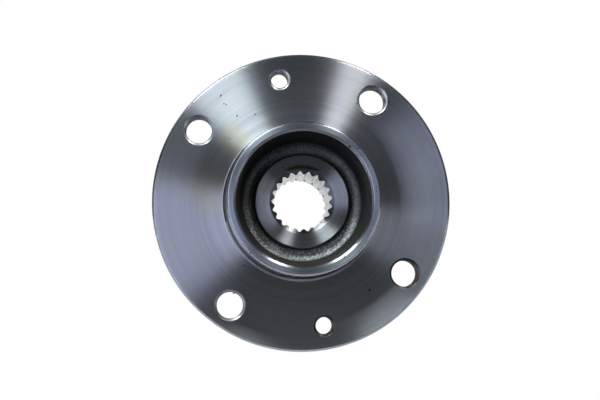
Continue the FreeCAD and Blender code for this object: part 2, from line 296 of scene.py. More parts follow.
# The burr, a crumb of steel half sunk in the wall of its hole.
def crumb():
    mesh = bmesh.new()
    bmesh.ops.create_icosphere(mesh, subdivisions=2, radius=burr["size"] * mm)
    spot = boltPlace(burr["holeAngle"]) + outward(burr["aside"]) * wheelHole["radius"] * mm
    bmesh.ops.translate(mesh, verts=mesh.verts, vec=spot + Vector((0, burr["deep"] * mm, 0)))
    return placed("burr", mesh)


# The whole hub forging: turned, then broached, bored, drilled, tapped and knocked.
def hubMesh():
    hub = placed("hubForging", spun(hubOutline()))
    cutters = [broach()] + bores()
    for hole, angle in flangeHoles():
        cutters += [drill(hole, angle), tap(hole, angle)]
    cutters += [knock(*dent) for dent in dents]
    cut(hub, cutters)
    cut(hub, [crumb()], "UNION")
    return hub


# A socket takes another node's output as a link, and anything else as its own value.
def feed(tree, socket, value):
    if isinstance(value, bpy.types.NodeSocket):
        tree.links.new(value, socket)
    else:
        socket.default_value = value


# A new node with its settings made and its sockets fed.
def add(tree, kind, links=None, **settings):
    made = tree.nodes.new(kind)
    for name, value in settings.items():
        setattr(made, name, value)
    for key, value in (links or {}).items():
        feed(tree, made.inputs[key], value)
    return made


# One step of arithmetic.
def maths(tree, operation, *values, clamp=False):
    return add(tree, "ShaderNodeMath", dict(enumerate(values)), operation=operation,
               use_clamp=clamp).outputs[0]


# A value from one range led smoothly into another.
def spread(tree, value, low, high, toLow=0.0, toHigh=1.0):
    return add(tree, "ShaderNodeMapRange", {"Value": value, "From Min": low, "From Max": high,
                                            "To Min": toLow, "To Max": toHigh},
               interpolation_type="SMOOTHSTEP").outputs[0]


# The first colour where the factor is 0, and the second where it is 1.
def blend(tree, factor, first, second):
    return add(tree, "ShaderNodeMix", {0: factor, 6: first, 7: second}, data_type="RGBA").outputs[2]


# Where a point lies on the piece, in metres.
def onPiece(tree):
    return add(tree, "ShaderNodeTexCoord").outputs["Object"]


# How far a point lies from the axle.
def fromAxle(tree, spot):
    flat = add(tree, "ShaderNodeVectorMath", {0: spot, 1: (1, 0, 1)}, operation="MULTIPLY").outputs[0]
    return add(tree, "ShaderNodeVectorMath", {0: flat}, operation="LENGTH").outputs["Value"]


# The length of two distances that stand square to each other.
def squareSum(tree, first, second):
    return maths(tree, "SQRT", maths(tree, "ADD", maths(tree, "MULTIPLY", first, first),
                                     maths(tree, "MULTIPLY", second, second)))


# A noise pattern's value at each point.
def noise(tree, spot, scale, detail, **more):
    return add(tree, "ShaderNodeTexNoise", {"Vector": spot, "Scale": scale, "Detail": detail,
                                            **more}).outputs[0]


# A noise pattern along one line, for marks that run in rings.
def rings(tree, along, scale, detail, **more):
    return add(tree, "ShaderNodeTexNoise", {"W": along, "Scale": scale, "Detail": detail, **more},
               noise_dimensions="1D").outputs[0]


# A new shared effect, with number sockets in and out.
def group(name, inputs, outputs):
    tree = bpy.data.node_groups.new(name, "ShaderNodeTree")
    for label, value in inputs.items():
        socket = tree.interface.new_socket(label, in_out="INPUT", socket_type="NodeSocketFloat")
        socket.default_value = value
    for label in outputs:
        tree.interface.new_socket(label, in_out="OUTPUT", socket_type="NodeSocketFloat")
    return tree, tree.nodes.new("NodeGroupInput").outputs, tree.nodes.new("NodeGroupOutput").inputs


# A shared effect placed in a material with that material's own values.
def use(tree, effect, **values):
    return add(tree, "ShaderNodeGroup", values, node_tree=effect).outputs


latheMarks = {"alongWall": 1.37, "wanderScale": 22.0, "wander": 0.0004, "broadScale": 420.0,
              "broadHeight": 0.25, "fineTone": 0.65, "broadTone": 0.35, "toneFrom": 0.36, "toneTo": 0.64}


# Lines left by the lathe tool: rings on a face, and the same rings along a wall.
def turningLines():
    tree, given, result = group("turningLines", {"Fineness": 3500.0}, ["Height", "Tone"])
    spot = onPiece(tree)
    parts = add(tree, "ShaderNodeSeparateXYZ", {0: spot}).outputs
    radius = squareSum(tree, parts[0], parts[2])
    place = maths(tree, "ADD", radius, maths(tree, "MULTIPLY", parts[1], latheMarks["alongWall"]))
    wander = noise(tree, spot, latheMarks["wanderScale"], 2.0)
    shifted = maths(tree, "ADD", place, maths(tree, "MULTIPLY", wander, latheMarks["wander"]))
    fine = rings(tree, shifted, given["Fineness"], 3.0, Roughness=0.7)
    broad = rings(tree, shifted, latheMarks["broadScale"], 2.0)
    height = maths(tree, "ADD", fine, maths(tree, "MULTIPLY", broad, latheMarks["broadHeight"]))
    tree.links.new(height, result["Height"])
    tone = maths(tree, "ADD", maths(tree, "MULTIPLY", fine, latheMarks["fineTone"]),
                 maths(tree, "MULTIPLY", broad, latheMarks["broadTone"]))
    tree.links.new(spread(tree, tone, latheMarks["toneFrom"], latheMarks["toneTo"]), result["Tone"])
    return tree


oilMarks = {"raggedScale": 500.0, "edgeFrom": 0.8, "edgeTo": 1.4, "aboveFade": 0.0007}


# A dark arc of old oil on the upper side of a ring.
def oilArc():
    tree, given, result = group("oilArc", {"Radius": 0.013, "Width": 0.001, "Above": 0.01}, ["Mask"])
    spot = onPiece(tree)
    radius = fromAxle(tree, spot)
    height = add(tree, "ShaderNodeSeparateXYZ", {0: spot}).outputs[2]
    ragged = noise(tree, spot, oilMarks["raggedScale"], 4.0)
    away = maths(tree, "ABSOLUTE", maths(tree, "SUBTRACT", radius, given["Radius"]))
    share = maths(tree, "ADD", maths(tree, "DIVIDE", away, given["Width"]), ragged)
    above = maths(tree, "SUBTRACT", height, given["Above"])
    inArc = spread(tree, share, oilMarks["edgeFrom"], oilMarks["edgeTo"], 1.0, 0.0)
    upper = spread(tree, above, 0.0, oilMarks["aboveFade"])
    tree.links.new(maths(tree, "MULTIPLY", inArc, upper), result["Mask"])
    return tree


spotMarks = {"raggedScale": 420.0, "edgeFrom": 0.9, "edgeTo": 1.5}


# One soft-edged mark at a given place on the wheel side.
def markedPlace():
    tree, given, result = group("markedPlace", {"Across": 0.0, "Up": 0.0, "Size": 0.003}, ["Mask"])
    spot = onPiece(tree)
    parts = add(tree, "ShaderNodeSeparateXYZ", {0: spot}).outputs
    aside = maths(tree, "SUBTRACT", parts[0], given["Across"])
    above = maths(tree, "SUBTRACT", parts[2], given["Up"])
    away = squareSum(tree, aside, above)
    ragged = noise(tree, spot, spotMarks["raggedScale"], 4.0)
    share = maths(tree, "ADD", maths(tree, "DIVIDE", away, given["Size"]), ragged)
    tree.links.new(spread(tree, share, spotMarks["edgeFrom"], spotMarks["edgeTo"], 1.0, 0.0),
                   result["Mask"])
    return tree


# Thin handling scratches, in short straight pieces that come in patches.
def scratchMarks():
    tree, given, result = group("scratchMarks", {"Scale": 90.0, "Width": 0.006}, ["Mask"])
    patchScale, patchFrom, patchTo = 170.0, 0.58, 0.62
    spot = onPiece(tree)
    cells = add(tree, "ShaderNodeTexVoronoi", {"Vector": spot, "Scale": given["Scale"]},
                feature="DISTANCE_TO_EDGE").outputs["Distance"]
    line = maths(tree, "LESS_THAN", cells, given["Width"])
    patch = noise(tree, spot, patchScale, 1.0)
    tree.links.new(maths(tree, "MULTIPLY", line, spread(tree, patch, patchFrom, patchTo)), result["Mask"])
    return tree


# Small dark pits, each cell of the surface holding one or none.
def pitMarks():
    tree, given, result = group("pitMarks", {"Scale": 220.0, "Share": 0.2}, ["Mask"])
    largest = 0.16  # of a cell
    spot = onPiece(tree)
    cells = add(tree, "ShaderNodeTexVoronoi", {"Vector": spot, "Scale": given["Scale"]})
    pick = add(tree, "ShaderNodeSeparateColor", {0: cells.outputs["Color"]}).outputs
    size = maths(tree, "MULTIPLY", pick[1], largest)
    chosen = maths(tree, "LESS_THAN", pick[0], given["Share"])
    inside = maths(tree, "LESS_THAN", cells.outputs["Distance"], size)
    tree.links.new(maths(tree, "MULTIPLY", chosen, inside), result["Mask"])
    return tree


# Broad cloudy areas, for stains, films and dust.
def cloudAreas():
    tree, given, result = group("cloudAreas", {"Scale": 40.0, "Start": 0.5, "End": 0.65}, ["Mask"])
    cloud = noise(tree, onPiece(tree), given["Scale"], 6.0, Roughness=0.62)
    tree.links.new(spread(tree, cloud, given["Start"], given["End"]), result["Mask"])
    return tree


# A fine even grain, for a blasted skin and for moulded plastic and rubber.
def blastedGrain():
    tree, given, result = group("blastedGrain", {"Scale": 900.0}, ["Height", "Tone"])
    pitFineness, pitHeight, swellScale, grainTone, swellTone = 1.3, 0.7, 160.0, 0.8, 0.2
    spot = onPiece(tree)
    grain = noise(tree, spot, given["Scale"], 4.0, Roughness=0.65)
    pitScale = maths(tree, "MULTIPLY", given["Scale"], pitFineness)
    pits = add(tree, "ShaderNodeTexVoronoi", {"Vector": spot, "Scale": pitScale}).outputs["Distance"]
    swell = noise(tree, spot, swellScale, 3.0)
    pitted = maths(tree, "ADD", grain, maths(tree, "MULTIPLY", pits, pitHeight))
    tree.links.new(maths(tree, "ADD", pitted, swell), result["Height"])
    tree.links.new(maths(tree, "ADD", maths(tree, "MULTIPLY", grain, grainTone),
                         maths(tree, "MULTIPLY", swell, swellTone)), result["Tone"])
    return tree


shared = {"lines": turningLines(), "scratches": scratchMarks(), "pits": pitMarks(),
          "clouds": cloudAreas(), "grain": blastedGrain(), "marked": markedPlace(),
          "oil": oilArc()}


# A new material, with its tree and its main shader.
def newMaterial(name):
    made = bpy.data.materials.new(name)
    made.use_nodes = True
    return made, made.node_tree, made.node_tree.nodes["Principled BSDF"]


# The shader's sockets fed by name, with an underscore for each space.
def connect(tree, shader, **values):
    for label, value in values.items():
        feed(tree, shader.inputs[label.replace("_", " ")], value)


# The normal of a surface with this relief.
def relief(tree, height, strength, distance):
    return add(tree, "ShaderNodeBump", {"Height": height, "Strength": strength,
                                        "Distance": distance}).outputs[0]


# The direction that runs round the axle at each point, along the lathe's lines.
def roundAxle(tree):
    crossed = add(tree, "ShaderNodeVectorMath", {0: (0, 1, 0), 1: onPiece(tree)},
                  operation="CROSS_PRODUCT")
    return add(tree, "ShaderNodeVectorMath", {0: crossed.outputs[0]}, operation="NORMALIZE").outputs[0]


# Marks and tints are given as across, up and size on the wheel side, and arcs as radius, width and
# the height above which they show, all in metres.
flangeLook = {"dark": (0.49, 0.495, 0.51, 1), "light": (0.58, 0.59, 0.61, 1), "stain": 0.5,
              "stainColour": (0.415, 0.41, 0.39, 1), "film": 0.35, "filmColour": (0.52, 0.495, 0.61, 1),
              "marks": [(0.0344, 0.0406, 0.0013), (0.0344, 0.0414, 0.0011)],
              "arcs": [(0.0137, 0.0014, 0.012)], "markColour": (0.13, 0.095, 0.02, 1),
              "tints": [(-0.0345, 0.006, 0.015), (-0.027, 0.024, 0.009)],
              "tintColour": (0.56, 0.53, 0.44, 1), "smooth": 0.295, "rough": 0.325, "metal": 1.0,
              "fineness": 1700.0, "bump": 0.25, "anisotropic": 1.0, "scratchScale": 55.0, "pits": 0.03}
unmarked = {"marks": [], "arcs": [], "tints": []}
ringLook = dict(flangeLook, dark=(0.435, 0.47, 0.54, 1), light=(0.55, 0.585, 0.665, 1), film=0.3,
                smooth=0.33, rough=0.38, fineness=1900.0, anisotropic=0.85, **unmarked)
edgeLook = dict(ringLook, dark=(0.32, 0.325, 0.345, 1), light=(0.415, 0.42, 0.435, 1), smooth=0.24,
                rough=0.27, anisotropic=0.95)
# Painted highlight: a pale, less metallic copy of the ring finish, so that rounded edges show bright lines
# whatever the lamps do.
paintedHighlightLook = dict(ringLook, dark=(0.62, 0.63, 0.65, 1), light=(0.83, 0.84, 0.86, 1), metal=0.4)
rimLook = dict(flangeLook, dark=(0.25, 0.255, 0.265, 1), light=(0.33, 0.335, 0.345, 1), smooth=0.58,
               rough=0.68, metal=0.6, anisotropic=0.3, **unmarked)
groundLook = dict(unmarked, dark=(0.3, 0.305, 0.31, 1), light=(0.42, 0.425, 0.43, 1), stain=0.3,
                  stainColour=(0.3, 0.29, 0.26, 1), film=0.2, filmColour=(0.4, 0.4, 0.44, 1),
                  smooth=0.42, rough=0.52, metal=0.85, fineness=3000.0, bump=0.25, anisotropic=0.5,
                  scratchScale=70.0, pits=0.02)
ballLook = dict(groundLook, dark=(0.5, 0.5, 0.51, 1), light=(0.62, 0.62, 0.63, 1), smooth=0.08,
                rough=0.16, fineness=9000.0, bump=0.05, anisotropic=0.0, scratchScale=300.0, pits=0.0)
sheetLook = dict(groundLook, dark=(0.42, 0.42, 0.43, 1), light=(0.56, 0.56, 0.57, 1), smooth=0.24,
                 rough=0.36, fineness=2500.0, bump=0.2, anisotropic=0.3, scratchScale=110.0, pits=0.03)
# What all turned steel shares: how its stains, film, pits and scratches lie, and how strongly they show.
turnedWear = {"stainScale": 34.0, "stainFrom": 0.5, "stainTo": 0.72, "stainRough": 0.06,
              "filmScale": 85.0, "filmFrom": 0.4, "filmTo": 0.62, "tintShare": 0.8, "markShare": 0.85,
              "pitScale": 260.0, "pitShare": 0.8, "pitColour": (0.03, 0.03, 0.032, 1),
              "scratchWidth": 0.0045, "scratchShare": 0.35, "scratchColour": (0.62, 0.63, 0.65, 1),
              "lineDepth": 0.00002, "quarterTurn": 0.25}


# Turned steel, satin from the tool, with faint oil stains, pits and handling marks.
def turnedSteel(name, look):
    wear = turnedWear
    made, tree, shader = newMaterial(name)
    lines = use(tree, shared["lines"], Fineness=look["fineness"])
    stain = use(tree, shared["clouds"], Scale=wear["stainScale"], Start=wear["stainFrom"],
                End=wear["stainTo"])["Mask"]
    scratches = use(tree, shared["scratches"], Scale=look["scratchScale"],
                    Width=wear["scratchWidth"])["Mask"]
    pits = use(tree, shared["pits"], Scale=wear["pitScale"], Share=look["pits"])["Mask"]
    film = use(tree, shared["clouds"], Scale=wear["filmScale"], Start=wear["filmFrom"],
               End=wear["filmTo"])["Mask"]
    plain = blend(tree, lines["Tone"], look["dark"], look["light"])
    filmed = blend(tree, maths(tree, "MULTIPLY", film, look["film"]), plain, look["filmColour"])
    stained = blend(tree, maths(tree, "MULTIPLY", stain, look["stain"]), filmed, look["stainColour"])
    for across, up, size in look["tints"]:
        tint = use(tree, shared["marked"], Across=across, Up=up, Size=size)["Mask"]
        share = maths(tree, "MULTIPLY", tint, wear["tintShare"])
        stained = blend(tree, share, stained, look["tintColour"])
    masks = [use(tree, shared["marked"], Across=across, Up=up, Size=size)["Mask"]
             for across, up, size in look["marks"]]
    masks += [use(tree, shared["oil"], Radius=radius, Width=width, Above=above)["Mask"]
              for radius, width, above in look["arcs"]]
    for mask in masks:
        share = maths(tree, "MULTIPLY", mask, wear["markShare"])
        stained = blend(tree, share, stained, look["markColour"])
    pitted = blend(tree, maths(tree, "MULTIPLY", pits, wear["pitShare"]), stained, wear["pitColour"])
    scratched = blend(tree, maths(tree, "MULTIPLY", scratches, wear["scratchShare"]), pitted,
                      wear["scratchColour"])
    rough = spread(tree, lines["Tone"], 0.0, 1.0, look["smooth"], look["rough"])
    rougher = maths(tree, "ADD", rough, maths(tree, "MULTIPLY", stain, wear["stainRough"]))
    normal = relief(tree, lines["Height"], look["bump"], wear["lineDepth"])
    connect(tree, shader, Base_Color=scratched, Metallic=look["metal"], Roughness=rougher,
            Anisotropic=look["anisotropic"], Anisotropic_Rotation=wear["quarterTurn"],
            Tangent=roundAxle(tree), Normal=normal)
    return made


# The grain's tone between these two ends leads from its smooth to its rough places.
grainEnds = (0.3, 0.7)
recessLook = {"scale": 1500.0, "dark": (0.05, 0.048, 0.042, 1), "light": (0.59, 0.6, 0.575, 1),
              "stain": 0.35, "stainColour": (0.06, 0.056, 0.045, 1), "stainScale": 60.0,
              "stainFrom": 0.48, "stainTo": 0.7, "metal": 0.8, "smooth": 0.42, "rough": 0.62,
              "bump": 0.6, "bumpDepth": 0.00018, "grainFrom": 0.4, "grainTo": 0.62, "grainLow": 0.12,
              "wallEnd": 0.0002, "wallFade": 0.001, "seatShadeStart": 0.0188, "seatShadeWidth": 0.0016,
              "unshadedSide": (-0.08, 0, -0.997), "sideShadeFrom": -0.003, "sideShadeTo": 0.019, "sideShadeLow": 0.22}


# Forged steel under a blasted skin: darker on the wall, lighter on the floor, with painted shade in the
# corner beside the nut seat and over the recess's upper side.
def blastedSteel(name, look):
    made, tree, shader = newMaterial(name)
    grain = use(tree, shared["grain"], Scale=look["scale"])
    stain = use(tree, shared["clouds"], Scale=look["stainScale"], Start=look["stainFrom"],
                End=look["stainTo"])["Mask"]
    spot = onPiece(tree)
    depth = add(tree, "ShaderNodeSeparateXYZ", {0: spot}).outputs[1]
    floorward = spread(tree, depth, look["wallEnd"] - look["wallFade"], look["wallEnd"])
    # Painted shade: darker in the corner beside the nut seat.
    seatCornerShade = spread(tree, fromAxle(tree, spot), look["seatShadeStart"], look["seatShadeStart"] + look["seatShadeWidth"])
    wallDarkAndSeatShade = maths(tree, "MULTIPLY", floorward, seatCornerShade)
    # Painted shade: the recess turns darker towards its upper side.
    towardUnshadedSide = add(tree, "ShaderNodeVectorMath", {0: spot, 1: look["unshadedSide"]}, operation="DOT_PRODUCT")
    side = spread(tree, towardUnshadedSide.outputs["Value"], look["sideShadeFrom"], look["sideShadeTo"], look["sideShadeLow"], 1.0)
    bright = spread(tree, grain["Tone"], look["grainFrom"], look["grainTo"], look["grainLow"], 1.0)
    tone = maths(tree, "MULTIPLY", bright, maths(tree, "MULTIPLY", wallDarkAndSeatShade, side))
    plain = blend(tree, tone, look["dark"], look["light"])
    stained = blend(tree, maths(tree, "MULTIPLY", stain, look["stain"]), plain, look["stainColour"])
    normal = relief(tree, grain["Height"], look["bump"], look["bumpDepth"])
    connect(tree, shader, Base_Color=stained, Metallic=look["metal"], Normal=normal,
            Roughness=spread(tree, grain["Tone"], *grainEnds, look["smooth"], look["rough"]))
    return made


# The marks run along the direction that is scaled down.
splineLook = {"along": (1, 0.06, 1), "dark": (0.42, 0.43, 0.44, 1), "light": (0.66, 0.67, 0.69, 1),
              "stain": 0.3, "stainScale": 160.0, "stainColour": (0.3, 0.29, 0.26, 1),
              "smooth": 0.22, "rough": 0.36}
threadLook = {"along": (1, 1, 1), "dark": (0.09, 0.09, 0.095, 1), "light": (0.22, 0.22, 0.23, 1),
              "stain": 0.5, "stainScale": 110.0, "stainColour": (0.2, 0.13, 0.07, 1),
              "smooth": 0.3, "rough": 0.5}
oiledLook = dict(threadLook, dark=(0.035, 0.033, 0.03, 1), light=(0.09, 0.085, 0.08, 1),
                 smooth=0.34, rough=0.46)
sunkLook = {"along": (1, 1, 1), "dark": (0.29, 0.295, 0.3, 1), "light": (0.47, 0.475, 0.48, 1),
            "stain": 0.4, "stainScale": 200.0, "stainColour": (0.16, 0.14, 0.09, 1),
            "smooth": 0.34, "rough": 0.48}
clipLook = {"along": (0.06, 1, 0.06), "dark": (0.3, 0.3, 0.31, 1), "light": (0.45, 0.45, 0.46, 1),
            "stain": 0.2, "stainScale": 160.0, "stainColour": (0.2, 0.18, 0.16, 1),
            "smooth": 0.3, "rough": 0.4}
cutMarks = {"scale": 1500.0, "stainFrom": 0.5, "stainTo": 0.66, "bump": 0.4, "bumpDepth": 0.00003}


# Steel cut by a broach or a tap, or rolled and hardened: plain metal with marks along the cut.
def cutSteel(name, look):
    made, tree, shader = newMaterial(name)
    drawn = add(tree, "ShaderNodeVectorMath", {0: onPiece(tree), 1: look["along"]},
                operation="MULTIPLY").outputs[0]
    streaks = noise(tree, drawn, cutMarks["scale"], 3.0)
    stain = use(tree, shared["clouds"], Scale=look["stainScale"], Start=cutMarks["stainFrom"],
                End=cutMarks["stainTo"])["Mask"]
    plain = blend(tree, streaks, look["dark"], look["light"])
    stained = blend(tree, maths(tree, "MULTIPLY", stain, look["stain"]), plain, look["stainColour"])
    normal = relief(tree, streaks, cutMarks["bump"], cutMarks["bumpDepth"])
    connect(tree, shader, Base_Color=stained, Metallic=1.0, Normal=normal,
            Roughness=spread(tree, streaks, *grainEnds, look["smooth"], look["rough"]))
    return made


cageLook = {"scale": 700.0, "dark": (0.34, 0.05, 0.03, 1), "light": (0.42, 0.08, 0.045, 1),
            "dustColour": (0.4, 0.36, 0.3, 1), "smooth": 0.38, "rough": 0.55}
rubberLook = {"scale": 1100.0, "dark": (0.012, 0.012, 0.013, 1), "light": (0.035, 0.035, 0.037, 1),
              "dustColour": (0.2, 0.19, 0.17, 1), "smooth": 0.5, "rough": 0.7}
mouldMarks = {"dust": 0.18, "dustScale": 120.0, "dustFrom": 0.52, "dustTo": 0.75, "bump": 0.25,
              "bumpDepth": 0.00005}


# Plastic or rubber with a fine moulded grain and a little dust.
def mouldedPlastic(name, look):
    made, tree, shader = newMaterial(name)
    grain = use(tree, shared["grain"], Scale=look["scale"])
    dust = use(tree, shared["clouds"], Scale=mouldMarks["dustScale"], Start=mouldMarks["dustFrom"],
               End=mouldMarks["dustTo"])["Mask"]
    plain = blend(tree, grain["Tone"], look["dark"], look["light"])
    dusty = blend(tree, maths(tree, "MULTIPLY", dust, mouldMarks["dust"]), plain, look["dustColour"])
    normal = relief(tree, grain["Height"], mouldMarks["bump"], mouldMarks["bumpDepth"])
    connect(tree, shader, Base_Color=dusty, Normal=normal,
            Roughness=spread(tree, grain["Tone"], *grainEnds, look["smooth"], look["rough"]))
    return made


materials = {
    "flange": turnedSteel("turnedSteel", flangeLook),
    "ring": turnedSteel("ringSteel", ringLook),
    "edge": turnedSteel("edgeSteel", edgeLook),
    "edgeRoundAndPaintedHighlight": turnedSteel("paintedHighlightSteel", paintedHighlightLook),
    "rim": turnedSteel("rimSteel", rimLook),
    "sunk": cutSteel("countersunkSteel", sunkLook),
    "ground": turnedSteel("groundSteel", groundLook),
    "ball": turnedSteel("polishedSteel", ballLook),
    "sheet": turnedSteel("pressedSteel", sheetLook),
    "recess": blastedSteel("blastedSteel", recessLook),
    "spline": cutSteel("broachedSteel", splineLook),
    "thread": cutSteel("tappedSteel", threadLook),
    "oiled": cutSteel("oiledSteel", oiledLook),
    "clip": cutSteel("springSteel", clipLook),
    "cage": mouldedPlastic("cagePolyamide", cageLook),
    "rubber": mouldedPlastic("sealRubber", rubberLook),
}
print("stage: materials made")

# What tells the hub's surfaces apart. Near is how close a face lies to its place, in millimetres. Lean is
# how far it looks along the axle: 1 on a flat face and 0 on a wall.
near = {"hair": 0.01, "seat": 0.03, "skin": 0.05, "front": 0.06, "wall": 0.1, "spigot": 0.15, "edge": 0.2,
        "step": 0.25, "lip": 0.3, "foot": 0.6, "mouth": 0.8, "recess": 0.9, "floor": 1, "back": 3}
lean = {"wall": 0.1, "cone": 0.6, "slope": 0.7, "bevel": 0.72, "mouth": 0.8, "flat": 0.98, "lip": 0.99,
        "even": 0.998}
# Where edges carry painted highlight and the mouth chamfer carries painted shade, and which holes hold oil,
# in millimetres on the wheel side.
paintedLightSides = {"mouthAbove": 10, "mouthShadeRight": 20, "bevelLeft": -8, "bevelAbove": -3, "edgeBelow": -8}
oiledBelow = -20
holeMiddles = [(hole, boltPlace(angle)) for hole, angle in flangeHoles()]


# The finish of a face in one of the holes or knocks, and nothing for any other face.
def cutFinish(spot, facing):
    for hole, middle in holeMiddles:
        away = math.hypot(spot.x - middle.x, spot.z - middle.z) / mm
        reach = hole["radius"] + countersink["width"] + near["skin"]
        if away < reach and abs(facing.y) < lean["flat"]:
            if middle.z < oiledBelow * mm and middle.x > 0 and facing.y < lean["slope"]:
                return "oiled"
            return "sunk" if abs(facing.y) > lean["slope"] else "thread"
    for radius, angle, place, size in dents:
        turn = math.radians(angle)
        away = math.hypot(spot.x / mm - math.cos(turn) * radius, spot.z / mm - math.sin(turn) * radius)
        if away < size and near["hair"] < spot.y / mm - place < size:
            return "thread"
    return None


# The finish of a face in the bore or the recess, from the shank forward to the recess's mouth.
def innerFinish(radius, place, slope, spot):
    mouthEnd = nutSeat["place"] + spline["mouth"] - spline["minor"]
    if radius < spline["mouth"] and place < mouthEnd and lean["cone"] < slope < lean["flat"]:
        return "edge"
    if radius < spline["major"] + near["skin"] and nutSeat["place"] + near["seat"] < place < spline["end"]:
        return "spline"
    if radius < shank["bore"] + near["wall"] and place >= spline["end"]:
        return "thread"
    mouthRim = spigot["front"] + recess["mouthChamfer"]
    # Painted highlight on the upper part of the mouth's rim; the rest keeps the edge finish.
    if abs(radius - recess["mouth"]) < near["edge"] and abs(place - mouthRim) < near["lip"]:
        return "edgeRoundAndPaintedHighlight" if spot.z > paintedLightSides["mouthAbove"] * mm else "edge"
    # Painted shade: on its right side the mouth's chamfer takes the darker edge finish instead of the
    # flange finish.
    if recess["mouth"] < radius < recess["mouth"] + recess["mouthChamfer"]:
        if place < spigot["front"] + near["mouth"] and slope < lean["mouth"]:
            return "edge" if spot.x > paintedLightSides["mouthShadeRight"] * mm else "flange"
    if nutSeat["radius"] + near["skin"] < radius < recess["mouth"] - near["edge"]:
        if spigot["front"] + near["recess"] < place < flange["thickness"] - near["back"]:
            return "recess"
    return None


# The finish of a face on the spigot, its groove or the flange.
def outerFinish(radius, place, slope, spot):
    below = spot.z < paintedLightSides["edgeBelow"] * mm
    bevelled = spigot["radius"] - spigot["chamfer"]
    # Painted highlight on the spigot's bevel at the upper left.
    if abs(radius - bevelled) < near["edge"] and place < spigot["front"] + near["edge"]:
        left = spot.x < paintedLightSides["bevelLeft"] * mm and spot.z > paintedLightSides["bevelAbove"] * mm
        if lean["bevel"] < slope < lean["lip"] and left:
            return "edgeRoundAndPaintedHighlight"
    if place < spigot["front"] + near["front"] and recess["mouth"] < radius < spigot["radius"]:
        return "ring"
    step = spigot["front"] + spigot["chamfer"]
    # Painted highlight on the lower part of the spigot's step; the rest keeps the edge finish.
    if abs(radius - spigot["radius"]) < near["spigot"] and abs(place - step) < near["step"]:
        return "edgeRoundAndPaintedHighlight" if below else "edge"
    if bevelled - near["wall"] < radius < spigot["radius"] + near["skin"] and place < 0:
        return "edge"
    groove = spigot["radius"] + spigot["groove"]
    # Painted highlight all round the groove's outer edge.
    if abs(radius - groove) < near["lip"] and place < near["lip"] and slope < lean["even"]:
        return "edgeRoundAndPaintedHighlight"
    # Painted shade: the groove's wall takes the dark thread finish, with a painted highlight on its outer
    # part below.
    if spigot["radius"] - near["skin"] < radius < groove and near["edge"] < place < near["floor"]:
        return "edgeRoundAndPaintedHighlight" if radius > groove - near["foot"] and below else "thread"
    if radius > flange["radius"] - near["wall"] and slope < lean["wall"]:
        return "rim"
    if radius > flange["radius"] - flange["chamfer"] - near["wall"]:
        if place < flange["chamfer"] and slope < lean["flat"]:
            return "edge"
    return "flange"


# Which finish each face of the hub carries, from where its middle lies and the way it faces.
def hubFinish(spot, facing):
    where = (math.hypot(spot.x, spot.z) / mm, spot.y / mm, abs(facing.y), spot)
    return cutFinish(spot, facing) or innerFinish(*where) or outerFinish(*where)


hub = hubMesh()
hub.data.materials.clear()
hubFinishes = ["flange", "recess", "spline", "thread", "ring", "edge", "edgeRoundAndPaintedHighlight", "sunk", "oiled", "rim"]
for finish in hubFinishes:
    hub.data.materials.append(materials[finish])
for face in hub.data.polygons:
    face.material_index = hubFinishes.index(hubFinish(face.center, face.normal))
shade(hub)
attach(hub, "hub_set")
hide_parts("wheel_hub")
print("stage: hub made,", len(hub.data.polygons), "faces")

# The bearing keeps the frame's own pieces, the same ones in each of its two rows.
ballsInRow = 14
rowFinish = {"inner_ring": "ground", "cage": "cage", "slinger": "sheet", "seal_case": "sheet",
             "seal_lip": "rubber"}
nodeFinish = {"outer_ring": "ground", "inner_ring_clip": "clip"}
for row in ("outboard", "inboard"):
    for kind, finish in rowFinish.items():
        nodeFinish[kind + "_" + row] = finish
    for number in range(1, ballsInRow + 1):
        nodeFinish["ball_" + row + "_" + str(number)] = "ball"
for name, finish in nodeFinish.items():
    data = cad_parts[name].data
    data.materials.clear()
    data.materials.append(materials[finish])
print("stage: bearing finished")

# The studio: a pale floor below the part, soft lamps in front, and a white surround behind.
# A lamp stands a metre off, at an angle round the axle and a tilt away from it.
lamps = {
    "upperLeftSoftbox": {"around": 120.3, "tilt": 59, "width": 0.34, "length": 0.36, "radiance": 21.8,
                         "colour": (0.86, 0.97, 1.0)},
    "upperRightSoftbox": {"around": 66.5, "tilt": 64, "width": 0.18, "length": 0.3, "radiance": 27.9,
                          "colour": (0.94, 0.98, 1.0)},
    "leftCard": {"around": 191, "tilt": 40, "width": 0.63, "length": 0.44, "radiance": 4.6,
                 "colour": (0.7, 0.77, 1.0)},
    "rightCard": {"around": 348, "tilt": 46, "width": 0.38, "length": 0.36, "radiance": 2.15,
                  "colour": (0.78, 0.86, 1.0)},
}


# One soft lamp that faces the part and isn't seen itself.
def softbox(name, facts):
    lamp = bpy.data.lights.new(name, "AREA")
    lamp.shape = "RECTANGLE"
    lamp.size = facts["width"]
    lamp.size_y = facts["length"]
    lamp.energy = facts["radiance"] * math.pi * facts["width"] * facts["length"]
    lamp.color = facts["colour"]
    holder = bpy.data.objects.new(name, lamp)
    bpy.context.scene.collection.objects.link(holder)
    lift = math.radians(facts["tilt"])
    away = outward(facts["around"])
    holder.location = away * math.sin(lift) + Vector((0, -math.cos(lift), 0))
    toPart = -holder.location.normalized()
    side = toPart.cross(away).normalized()
    along = side.cross(toPart)
    holder.rotation_euler = Matrix((side, along, -toPart)).transposed().to_euler()
    holder.visible_camera = False


# The surround shows white, and lights the part dimly, more from above and from the ceiling's side.
surround = {"shown": (1, 1, 1, 1), "light": (0.82, 0.92, 1.0, 1), "lowFrom": -0.4, "highFrom": 0.6,
            "low": 0.03, "high": 0.11, "ceilingSide": (-0.5, 0, 0.866), "ceilingFrom": 0.8,
            "ceilingTo": 0.97, "ceiling": 0.28, "behindFrom": 0.3, "behindTo": 0.8}


